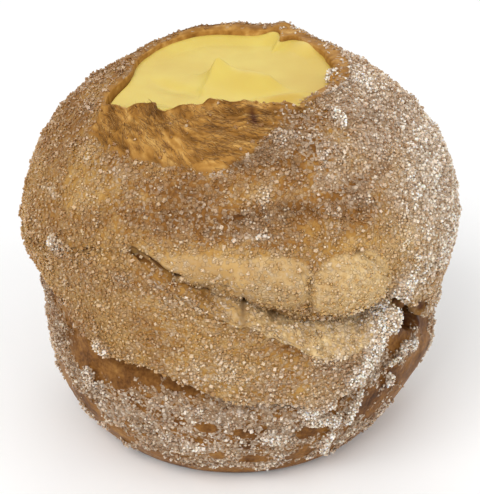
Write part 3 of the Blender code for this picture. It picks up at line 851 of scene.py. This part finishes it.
def baked_dough():
    """Laminated dough, baked: browned where it stood out, pale where a fold opened, sandy with fine sugar."""
    material, node, shader, read = new_material(
        "baked_laminated_dough", {"Specular IOR Level": 0.07},
        ("bake", "raw", "crumb", "fibre", "stain", "sugar", "frost"))
    place = node("ShaderNodeTexCoord", out="Object")
    # Slow mottling and a fine speckle, as the crust browned unevenly.
    mottle = node("ShaderNodeTexNoise", {"Vector": place, "Scale": per_mm(MOTTLE_SIZE), "Detail": 4.0,
                                              "Roughness": 0.6}, out="Fac")
    speckle = node("ShaderNodeTexNoise", {"Vector": place, "Scale": per_mm(SPECKLE_SIZE), "Detail": 3.0,
                                               "Roughness": 0.65}, out="Fac")
    browning = node("ShaderNodeMath", {0: mottle, 1: 0.45, 2: read["bake"]}, operation="MULTIPLY_ADD")
    browning = node("ShaderNodeMath", {0: speckle, 1: 0.55, 2: browning}, operation="MULTIPLY_ADD")
    browning = node("ShaderNodeMath", {0: browning, 1: 0.5}, operation="SUBTRACT", use_clamp=True)
    colour = node("ShaderNodeValToRGB", {"Fac": browning}, stops=CRUST_STOPS)
    # Pale, under-baked dough inside the opened fold.
    pale = node("ShaderNodeValToRGB", {"Fac": speckle}, stops=RAW_STOPS)
    # Torn crumb, golden brown, with painted light on its strands and painted shade in the hollows between
    # them.
    strand = node("ShaderNodeMath", {0: speckle, 1: 0.45, 2: read["fibre"]}, operation="MULTIPLY_ADD")
    strand = node("ShaderNodeMath", {0: strand, 1: 0.225}, operation="SUBTRACT")
    strand = node("ShaderNodeValToRGB", {"Fac": strand}, stops=CRUMB_STOPS)
    # Pale dough, crumb, and the dark stain that is also painted shade in creases and holes, laid over the
    # crust.
    for mask, over in (("raw", pale), ("crumb", strand), ("stain", linear(STAIN_AND_SHADE))):
        colour = node("ShaderNodeMix", {0: read[mask], 6: colour, 7: over}, **COLOUR_MIX)
    # A layer of fine sugar, grain by grain: clear over the crust's colour, milky where it is piled.
    cells = {"Vector": place, "Scale": per_mm(FINE_GRAIN_SIZE), "Randomness": 1.0}
    grain = node("ShaderNodeTexVoronoi", cells, out="Color")
    rim = node("ShaderNodeTexVoronoi", cells, out="Distance", feature="DISTANCE_TO_EDGE")
    milk, shade, order = node("ShaderNodeSeparateColor", {"Color": grain}).node.outputs
    milky = node("ShaderNodeMath", {0: read["frost"], 1: 0.9, 2: -0.2}, operation="MULTIPLY_ADD")
    milky = node("ShaderNodeMath", {0: milk, 1: 0.4, 2: milky}, operation="MULTIPLY_ADD", use_clamp=True)
    clear = node("ShaderNodeMix", {0: 0.08, 6: colour, 7: linear(CLEAR_FINE_SUGAR)}, **COLOUR_MIX)
    fines = node("ShaderNodeValToRGB", {"Fac": shade}, stops=FINES_STOPS)
    sugared = node("ShaderNodeMix", {0: milky, 6: clear, 7: fines}, **COLOUR_MIX)
    # Painted highlight just inside each grain's rim, and painted shade in the cleft round it.
    for stops, tone in ((GLINT_STOPS, GLINT), (CLEFT_SHADE_STOPS, CLEFT_SHADE)):
        near_rim = node("ShaderNodeValToRGB", {"Fac": rim}, stops=stops)
        sugared = node("ShaderNodeMix", {0: near_rim, 6: sugared, 7: linear(tone)}, **COLOUR_MIX)
    covered = node("ShaderNodeMath", {0: read["sugar"], 1: 1.25}, operation="MULTIPLY")
    covered = node("ShaderNodeMath", {0: covered, 1: order}, operation="SUBTRACT")
    covered = node("ShaderNodeMath", {0: covered, 1: 6.0}, operation="MULTIPLY", use_clamp=True)
    colour = node("ShaderNodeMix", {0: covered, 6: colour, 7: sugared}, **COLOUR_MIX)
    rough = node("ShaderNodeMapRange", {"Value": read["sugar"], "To Min": 0.45, "To Max": 0.6})
    # Small relief: rounded grains where sugared, fine pores elsewhere.
    domed = node("ShaderNodeMath", {0: rim, 1: 3.0}, operation="MULTIPLY", use_clamp=True)
    domed = node("ShaderNodeMath", {0: domed, 1: 0.6}, operation="POWER")
    domed = node("ShaderNodeMath", {0: domed, 1: covered}, operation="MULTIPLY")
    height = node("ShaderNodeMath", {0: speckle, 1: 0.5, 2: domed}, operation="MULTIPLY_ADD")
    bump = node("ShaderNodeBump", {"Height": height, "Strength": 0.9, "Distance": 0.22 * MM})
    feed(shader, {"Base Color": colour, "Roughness": rough, "Normal": bump})
    return material


def sugar_crystal():
    """Granulated sugar: clear, glinting crystals that pass the crust's colour; the driest are milky."""
    material, node, shader, read = new_material(
        "granulated_sugar",
        {"Roughness": 0.25, "IOR": 1.5, "Subsurface Weight": 0.7, "Subsurface Radius": (1.0, 0.85, 0.6),
         "Subsurface Scale": 0.35 * MM},
        ("bake", "raw", "tint", "frost", "caked"))
    through = node("ShaderNodeValToRGB", {"Fac": read["bake"]}, stops=CRUST_STOPS)
    raw = {0: read["raw"], 6: through, 7: linear(RAW_THROUGH_SUGAR)}
    through = node("ShaderNodeMix", raw, **COLOUR_MIX)
    # Painted sparkle: each clear grain takes a random share of pale sugar's colour.
    sparkle = node("ShaderNodeValToRGB", {"Fac": read["tint"]}, stops=SPARKLE_STOPS)
    clear = node("ShaderNodeMix", {0: sparkle, 6: through, 7: linear(CLEAR_SUGAR)}, **COLOUR_MIX)
    # Wet sugar dries whiter where it caked.
    tone = node("ShaderNodeMath", {0: read["caked"], 1: 0.25, 2: read["tint"]}, operation="MULTIPLY_ADD")
    milky = node("ShaderNodeValToRGB", {"Fac": tone}, stops=FINES_STOPS)
    share = node("ShaderNodeMath", {0: read["frost"], 1: 0.9, 2: -0.15}, operation="MULTIPLY_ADD")
    share = node("ShaderNodeMath", {0: read["tint"], 1: 0.3, 2: share}, operation="MULTIPLY_ADD",
                use_clamp=True)
    colour = node("ShaderNodeMix", {0: share, 6: clear, 7: milky}, **COLOUR_MIX)
    feed(shader, {"Base Color": colour})
    return material


def crumb_strand():
    """Loose fibres of torn crumb: golden brown, matt, no two alike."""
    material, node, shader, read = new_material(
        "torn_crumb_fibre", {"Roughness": 0.7}, ("tint", "fibre", "stain"))
    # Painted light and shade from the crumb's relief under each fibre, with a random tone of its own, then
    # the stain and painted crease shade.
    shade = node("ShaderNodeMath", {0: read["fibre"], 1: 0.55}, operation="MULTIPLY")
    shade = node("ShaderNodeMath", {0: read["tint"], 1: 0.5, 2: shade}, operation="MULTIPLY_ADD")
    colour = node("ShaderNodeValToRGB", {"Fac": shade}, stops=CRUMB_STOPS)
    colour = node("ShaderNodeMix", {0: read["stain"], 6: colour, 7: linear(FIBRE_STAIN_AND_SHADE)}, **COLOUR_MIX)
    feed(shader, {"Base Color": colour})
    return material


def custard_cream():
    """Cooked custard: opaque, egg-yellow, smooth and satin, with light soaking a little way in."""
    material, node, shader, read = new_material(
        "egg_custard",
        {"Roughness": 0.45, "Specular IOR Level": 0.3, "Subsurface Weight": 0.2,
         "Subsurface Radius": (1.0, 0.7, 0.25), "Subsurface Scale": 1.2 * MM},
        ("deep_and_shaded", "smear"))
    place = node("ShaderNodeTexCoord", out="Object")
    # Broad, faint streaks of richer yellow, where the spoon folded it.
    streaks, fine = (
        node("ShaderNodeTexNoise", {"Vector": place, "Scale": per_mm(size), "Detail": 2.0}, out="Fac")
        for size in (STREAK_SIZE, SKIN_SIZE))
    colour = node("ShaderNodeValToRGB", {"Fac": streaks}, stops=CUSTARD_STOPS)
    # Deeper yellow in a second fold with painted shade on it, painted shade towards the right, and custard
    # smeared up the wall.
    for mask, tone in (("deep_and_shaded", DEEP_SHADED_CUSTARD), ("smear", SMEARED_CUSTARD)):
        colour = node("ShaderNodeMix", {0: read[mask], 6: colour, 7: linear(tone)}, **COLOUR_MIX)
    # A barely uneven skin.
    bump = node("ShaderNodeBump", {"Height": fine, "Strength": 0.12, "Distance": 0.3 * MM})
    feed(shader, {"Base Color": colour, "Normal": bump})
    return material


def roll_finish(points, angle, rise):
    """The tin-baked roll, smooth and brown: how far it stands out, and its masks."""
    height = points[..., 2]
    smooth = 0.30 * field(points, 9, 41) + 0.12 * field(points, 3, 42) + 0.06 * field(points, 1, 45)
    out = (smooth + rise - SUGAR_ROOM) * ease(height / FOOT_HEIGHT)
    bake = ROLL_BAKE + 0.09 * field(points, 8, 53) + 0.10 * field(points, 2.5, 54)
    bake = bake + 0.2 * ease(1 - height / 2)
    # Darker bare patches: browner crust, and painted shade under the ledge's overhang at the left.
    for *place, darker in BARE:
        bake = bake + darker * spot(angle, height, *place)
    sugar = base_sugar_map(points, angle, height) * (height > 0.7)
    frost = frost_map(points, angle, height)
    none = np.zeros_like(out)
    return out, {"bake": bake, "sugar": sugar, "frost": frost, "crumb": none, "raw": none, "fibre": none}


def torn_lip(points, height, form):
    """1 on the outer coil's torn edge, and how rough the dough is there."""
    lip = ease((height - form.brow + 0.8) / 1.2) * form.open
    rough = 0.65 * field(points, 2.8, 81) + 0.50 * field(points, 1.3, 82) + 0.28 * field(points, 0.65, 83)
    return lip, rough


def coil_finish(points, angle, form, rise, outer):
    """A coil of dough, lumpy, sugared and torn at its edges: how far it stands out, and its masks."""
    height = points[..., 2]
    away = np.hypot(points[..., 0], points[..., 1])
    tear = front_tear(angle)
    wall = (away < form.edge_radius + 0.3) & (height > DOME_BRINK)
    crest = (away < form.crest_radius) & (height > DOME_BRINK)
    out, crumb, pocket, fibre = relief(points, angle, form)
    out = out + rise
    bake = bake_map(points, angle, height, crumb)
    raw = pocket * (0.34 + 0.14 * ease(turn_between(angle, -92) / 8) + 0.26 * hump(angle, -60, 9))
    torn = crest * (1 - tear) * ease((form.crest_radius - away) / 1.4 + 0.2)
    torn = torn * (1 - 0.75 * hump(angle, 165, 40))
    sugar = sugar_map(points, angle, height, crumb, pocket) * ~wall * (1 - 0.85 * torn)
    frost = frost_map(points, angle, height)
    if outer:
        lip, rough = torn_lip(points, height, form)
        out = out * (1 - lip) + lip * rough
        raw = lip * (1 - 0.25 * ease(0.5 + field(points, 2.6, 84))) * ease((angle + 100) / 16)
        sugar = sugar * (1 - 0.4 * lip)
        frost = frost + 0.22 * lip
    lumpy = 0.55 + 0.22 * field(points, 2.4, 39) + 0.20 * field(points, 0.9, 40)
    fibre = np.where(crest, lumpy + (fibre - lumpy) * tear, fibre)
    crumb = np.maximum(crumb, np.maximum(wall * 1, 0.9 * torn))
    return out, {"bake": bake, "sugar": sugar, "frost": frost, "crumb": crumb, "raw": raw, "fibre": fibre}


def make_crust(material):
    """The three rolled layers of the pastry, each a closed piece."""
    pieces = []
    for name, section, columns, closed in (("inner_roll", inner_roll_section, 480, False),
                                           ("outer_coil", outer_coil_section, 620, True),
                                           ("upper_coil", upper_coil_section, 600, True)):
        form = Form(columns)
        points = swing(section(form), form.angle)
        angle = np.broadcast_to(form.angle, points.shape[:2])
        height = points[..., 2]
        rise, stain = marks(angle, height)
        if name == "inner_roll":
            out, masks = roll_finish(points, angle, rise)
        else:
            out, masks = coil_finish(points, angle, form, rise, name == "outer_coil")
        # Wet sugar caked in clumps: it stands out, and it is whiter at the right and high up.
        piled = caked_lines(angle, height, points) * ease((height - 0.8) / 1.5)
        caked = np.maximum(0.7 * caked_mask(points, masks["sugar"]), piled) * ease((height - 1) / 2)
        out = out + 0.45 * caked + 0.55 * piled
        sugar = np.maximum(masks["sugar"], piled) * (1 - ease(2.2 * stain - 0.2))
        sugar = np.clip(sugar * (1 + 0.4 * caked), 0, 1) * (1 - 0.3 * hump(angle, 90, 70))
        whiter = 0.35 + 0.4 * ease(turn_between(angle, -100) / 30)
        whiter = whiter * (0.3 + 0.7 * ease((height - 22) / 8))
        frost = masks["frost"] + 0.2 * caked + whiter * piled
        points = points + facing(points, closed) * out[..., None]
        # Loose fibres lie on the torn crumb, clear of its edge.
        inland = np.hypot(points[..., 0], points[..., 1]) - form.edge_radius - 0.4
        loose = masks["crumb"] * front_tear(angle) * (height > DOME_BRINK) * ease(inland)
        loose = loose * ease(0.55 + 0.8 * field(points, 2.2, 38))
        masks.update(stain=stain, sugar=sugar, frost=frost, caked=caked * sugar, loose=loose)
        pieces.append(make_mesh(name, points, material, masks, closed))
    return pieces


def custard_height(x, y):
    """The custard's soft top: a tilted level, a spooned peak, and the ridges that run from it."""
    level = CUSTARD_LEVEL + 0.035 * y + 0.012 * x
    level = level + 0.15 * np.sin(0.33 * x + 0.8) * np.cos(0.27 * y - 0.4)
    away = np.hypot(x - PEAK_PLACE[0], y - PEAK_PLACE[1])
    level = level + 0.8 * np.exp(-((away / 1.5) ** 1.25))
    level = level + 0.9 * np.exp(-(((x - 0.5) / 5.5) ** 2) - ((y + 6) / 3.4) ** 2)
    for start, end, near_reach, far_reach, rise_start, rise_end in CUSTARD_RIDGES:
        along = np.array(end) - np.array(start)
        length = math.hypot(*along)
        along = along / length
        t = np.clip(((x - start[0]) * along[0] + (y - start[1]) * along[1]) / length, 0, 1)
        side = (x - start[0]) * along[1] - (y - start[1]) * along[0]
        past = np.hypot(x - start[0] - t * length * along[0], y - start[1] - t * length * along[1])
        reach = far_reach + (near_reach - far_reach) * ease((side + 0.6) / 1.2)
        level = level + (rise_start + (rise_end - rise_start) * ease(t)) * np.exp(-((past / reach) ** 2))
    hollow = np.exp(-(((x + 12) / 5) ** 2) - (((y + 6 + 0.6 * (x + 12)) / 2.6) ** 2))
    return level - 0.7 * hollow


def make_custard(material):
    """The filling, from its hidden underside up its sides and in over its top to the middle."""
    form = Form(360)
    angle = form.angle
    smear = hump(angle, 42, 10)
    edge_height = round_line(angle, EDGE_HEIGHTS) - 0.95 + 1 * smear + 0.15 * front_tear(angle)
    edge_height = edge_height + 0.35 * hump(angle, 125, 40) + 0.8 * hump(angle, 69.5, 5.5)
    rim = np.min([np.roll(form.edge_radius + form.wedge, step, axis=0) for step in range(-4, 5)], axis=0)
    rim = rim - form.wedge + 0.45
    share = shares(130, 1, 0.004) ** 0.8
    radius = rim * share
    turn = np.radians(angle)
    level = custard_height(radius * np.cos(turn), radius * np.sin(turn))
    top = level + (edge_height - level) * ease((radius - rim + 4) / 4)
    floor = CUSTARD_LEVEL - CUSTARD_DEPTH
    side = shares(6, 0, 0.9)
    section = np.concatenate([
        strip(OPENING_RADIUS * 0.6 * shares(3, 0.1, 1), floor + 0 * angle),
        strip(OPENING_RADIUS * 0.62 + (rim - OPENING_RADIUS * 0.62) * np.sin(0.5 * math.pi * side) ** 0.8,
              floor + 0.3 + (edge_height - floor) * side),
        strip(radius, top),
    ], axis=1)
    points = swing(section, angle)
    x, y = points[..., 0], points[..., 1]
    # Deeper yellow: a second, smoother fold at the front right in painted shade, and painted shade growing
    # towards the right.
    deep_and_shaded = ease(1.6 - np.hypot((x - 9) / 4.2, (y + 13.2) / 2.2))
    deep_and_shaded = np.maximum(0.85 * deep_and_shaded, 0.45 * ease((x - 3) / 11))
    smear = smear * ease((np.hypot(x, y) - rim + 5) / 3)
    return make_mesh("custard_filling", points, material, {"deep_and_shaded": deep_and_shaded, "smear": smear}, closed_rows=False)


def strewing_tree(shape):
    """Geometry Nodes: a small shape strewn over a host by a mask, turned at random or along its course."""
    sides = SHAPE_SIDES[shape]
    least, most = FIBRE_PROPORTIONS if shape == "fibre" else GRAIN_PROPORTIONS
    tree = bpy.data.node_groups.new("strewn_" + shape, "GeometryNodeTree")
    tree.interface.new_socket("Geometry", in_out="OUTPUT", socket_type="NodeSocketGeometry")
    for label, kind in (("Geometry", "Geometry"), ("Mask", "String"), ("Grains", "Float"), ("Gap", "Float"),
                        ("Smallest", "Float"), ("Largest", "Float"), ("Lift", "Float"), ("Seed", "Int"),
                        ("Finish", "Material")):
        tree.interface.new_socket(label, in_out="INPUT", socket_type="NodeSocket" + kind)
    node = partial(add, tree)
    given = tree.nodes.new("NodeGroupInput").outputs
    mask = node("GeometryNodeInputNamedAttribute", {"Name": given["Mask"]}, data_type="FLOAT")
    spread = {"Mesh": given["Geometry"], "Distance Min": given["Gap"], "Density Max": given["Grains"],
              "Density Factor": mask, "Seed": given["Seed"]}
    points = node("GeometryNodeDistributePointsOnFaces", spread, distribute_method="POISSON")
    strewn = points.node.outputs
    away = node("ShaderNodeVectorMath", {0: strewn["Normal"], "Scale": given["Lift"]}, operation="SCALE")
    raised = node("GeometryNodeSetPosition", {"Geometry": points, "Offset": away})
    if shape == "fibre":
        way = node("GeometryNodeInputNamedAttribute", {"Name": "course"}, data_type="FLOAT_VECTOR")
        astray = {0: (-0.5, -0.5, -0.4), 1: (0.5, 0.5, 0.1), "Seed": 1}
        stray = node("FunctionNodeRandomValue", astray, **RANDOM_VECTOR)
        way = node("ShaderNodeVectorMath", {0: way, 1: stray}, operation="ADD")
        into = node("ShaderNodeVectorMath", {0: way, 1: strewn["Normal"]}, operation="PROJECT")
        flat = node("ShaderNodeVectorMath", {0: way, 1: into}, operation="SUBTRACT")
        turned = node("FunctionNodeAlignRotationToVector", {"Vector": flat}, axis="Z")
    else:
        turns = {0: (0.0, 0.0, 0.0), 1: (FULL_TURN, FULL_TURN, FULL_TURN), "Seed": 1}
        turned = node("FunctionNodeRandomValue", turns, **RANDOM_VECTOR)
    sizes = {2: given["Smallest"], 3: given["Largest"], "Seed": 2}
    size = node("FunctionNodeRandomValue", sizes, **RANDOM_NUMBER)
    shaped = node("FunctionNodeRandomValue", {0: least, 1: most, "Seed": 3}, **RANDOM_VECTOR)
    scale = node("ShaderNodeVectorMath", {0: shaped, "Scale": size}, operation="SCALE")
    if sides:
        grain = node("GeometryNodeMeshUVSphere", {"Segments": sides, "Rings": 2, "Radius": 0.62})
    else:
        grain = node("GeometryNodeMeshCube", {"Size": (1.0, 1.0, 1.0)})
    worn = node("GeometryNodeSetShadeSmooth", {"Geometry": grain, "Shade Smooth": sides > 0})
    placed = node("GeometryNodeInstanceOnPoints",
                 {"Points": raised, "Instance": worn, "Rotation": turned, "Scale": scale})
    tint = node("FunctionNodeRandomValue", {2: 0.0, 3: 1.0, "Seed": 4}, **RANDOM_NUMBER)
    tinted = node("GeometryNodeStoreNamedAttribute", {"Geometry": placed, "Name": "tint", "Value": tint},
                 data_type="FLOAT", domain="INSTANCE")
    real = node("GeometryNodeRealizeInstances", {"Geometry": tinted})
    done = node("GeometryNodeSetMaterial", {"Geometry": real, "Material": given["Finish"]})
    tree.links.new(done, tree.nodes.new("NodeGroupOutput").inputs[0])
    return tree


def strew(name, host, tree, values):
    """One kind of grain over the host, as a plain mesh."""
    strewer = new_object(name + "_host", host.data)
    modifier = strewer.modifiers.new("strewn", "NODES")
    modifier.node_group = tree
    for item in tree.interface.items_tree:
        if item.in_out == "INPUT" and item.name in values:
            modifier[item.identifier] = values[item.name]
    shown = strewer.evaluated_get(bpy.context.evaluated_depsgraph_get())
    mesh = bpy.data.meshes.new_from_object(shown)
    mesh.name = name
    bpy.data.objects.remove(strewer)
    return new_object(name, mesh)


def join_for_sugar(pieces):
    """One mesh holding every crust piece, as a host for the sugar."""
    copies = [piece.copy() for piece in pieces]
    for copy, piece in zip(copies, pieces):
        copy.data = piece.data.copy()
        bpy.context.scene.collection.objects.link(copy)
    with bpy.context.temp_override(active_object=copies[0], selected_editable_objects=copies):
        bpy.ops.object.join()
    return copies[0]


def lay_course(host):
    """Store the way the torn fibres run, aslant at the left and level in the middle."""
    count = len(host.data.vertices)
    coords = np.zeros(count * 3, np.float32)
    host.data.vertices.foreach_get("co", coords)
    x = coords[0::3] / MM
    steep = np.radians(MIDDLE_FIBRES + (LEFT_FIBRES - MIDDLE_FIBRES) * ease((-3.0 - x) / 9.0))
    course = np.stack([np.cos(steep), -np.sin(steep), -0.35 * np.ones(count)], axis=-1)
    layer = host.data.attributes.new("course", "FLOAT_VECTOR", "POINT")
    layer.data.foreach_set("vector", course.astype(np.float32).reshape(-1))


def make_sugar(crust):
    """Every kind of loose thing on the crust: sugar from dust to coarse grains, and fibres of torn crumb."""
    host = join_for_sugar(crust)
    lay_course(host)
    sugar = sugar_crystal()
    trees = {shape: strewing_tree(shape) for shape in SHAPE_SIDES}
    finishes = {"splinter": sugar, "chip": sugar, "block": sugar, "fibre": crumb_strand()}
    pieces = []
    for name, shape, mask, grains, gap, smallest, largest, lift, seed in STREWN:
        values = {"Mask": mask, "Grains": grains, "Gap": gap * MM, "Smallest": smallest * MM,
                  "Largest": largest * MM, "Lift": lift * MM, "Seed": seed, "Finish": finishes[shape]}
        pieces.append(strew(name, host, trees[shape], values))
    bpy.data.objects.remove(host)
    return pieces


def aim(thing, place, centre):
    """Put a camera or a light in its place, turned towards the centre."""
    thing.location = place
    thing.rotation_euler = (centre - thing.location).to_track_quat("-Z", "Y").to_euler()


def make_stage():
    """Plain pale floor, soft light and the camera."""
    centre = Vector((0.0, 0.0, LOOK_HEIGHT * MM))
    lift = math.radians(CAMERA_LIFT)
    camera = new_object("camera", bpy.data.cameras.new("camera"))
    aim(camera, centre + CAMERA_REACH * MM * Vector((0.0, -math.cos(lift), math.sin(lift))), centre)
    camera.data.sensor_width = 36.0
    camera.data.lens = CAMERA_LENS
    camera.data.clip_start = 0.01
    bpy.context.scene.camera = camera

    bpy.ops.mesh.primitive_plane_add(size=6.0, location=(0.0, 0.0, 0.0))
    floor = bpy.context.object
    floor.name = "studio_floor"
    finish, *_ = new_material("matt_white_sweep", {"Base Color": linear(FLOOR), "Roughness": 0.9})
    floor.data.materials.append(finish)

    world = bpy.data.worlds.new("studio")
    world.use_nodes = True
    sky = world.node_tree.nodes["Background"]
    sky.inputs["Color"].default_value = linear("#ffffff")
    sky.inputs["Strength"].default_value = SKY_STRENGTH
    bpy.context.scene.world = world
    for name, place, size, power in LIGHTS:
        light = bpy.data.lights.new(name, "AREA")
        light.size = size
        light.energy = power
        aim(new_object(name, light), place, centre)
    bpy.context.scene.view_settings.view_transform = "Standard"


def main():
    """Build every piece, tie each to its node, and set the stage."""
    crust = make_crust(baked_dough())
    filling = make_custard(custard_cream())
    for piece in crust + make_sugar(crust):
        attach(piece, "root")
        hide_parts("pastry")
    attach(filling, "root")
    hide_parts("custard")
    make_stage()


main()
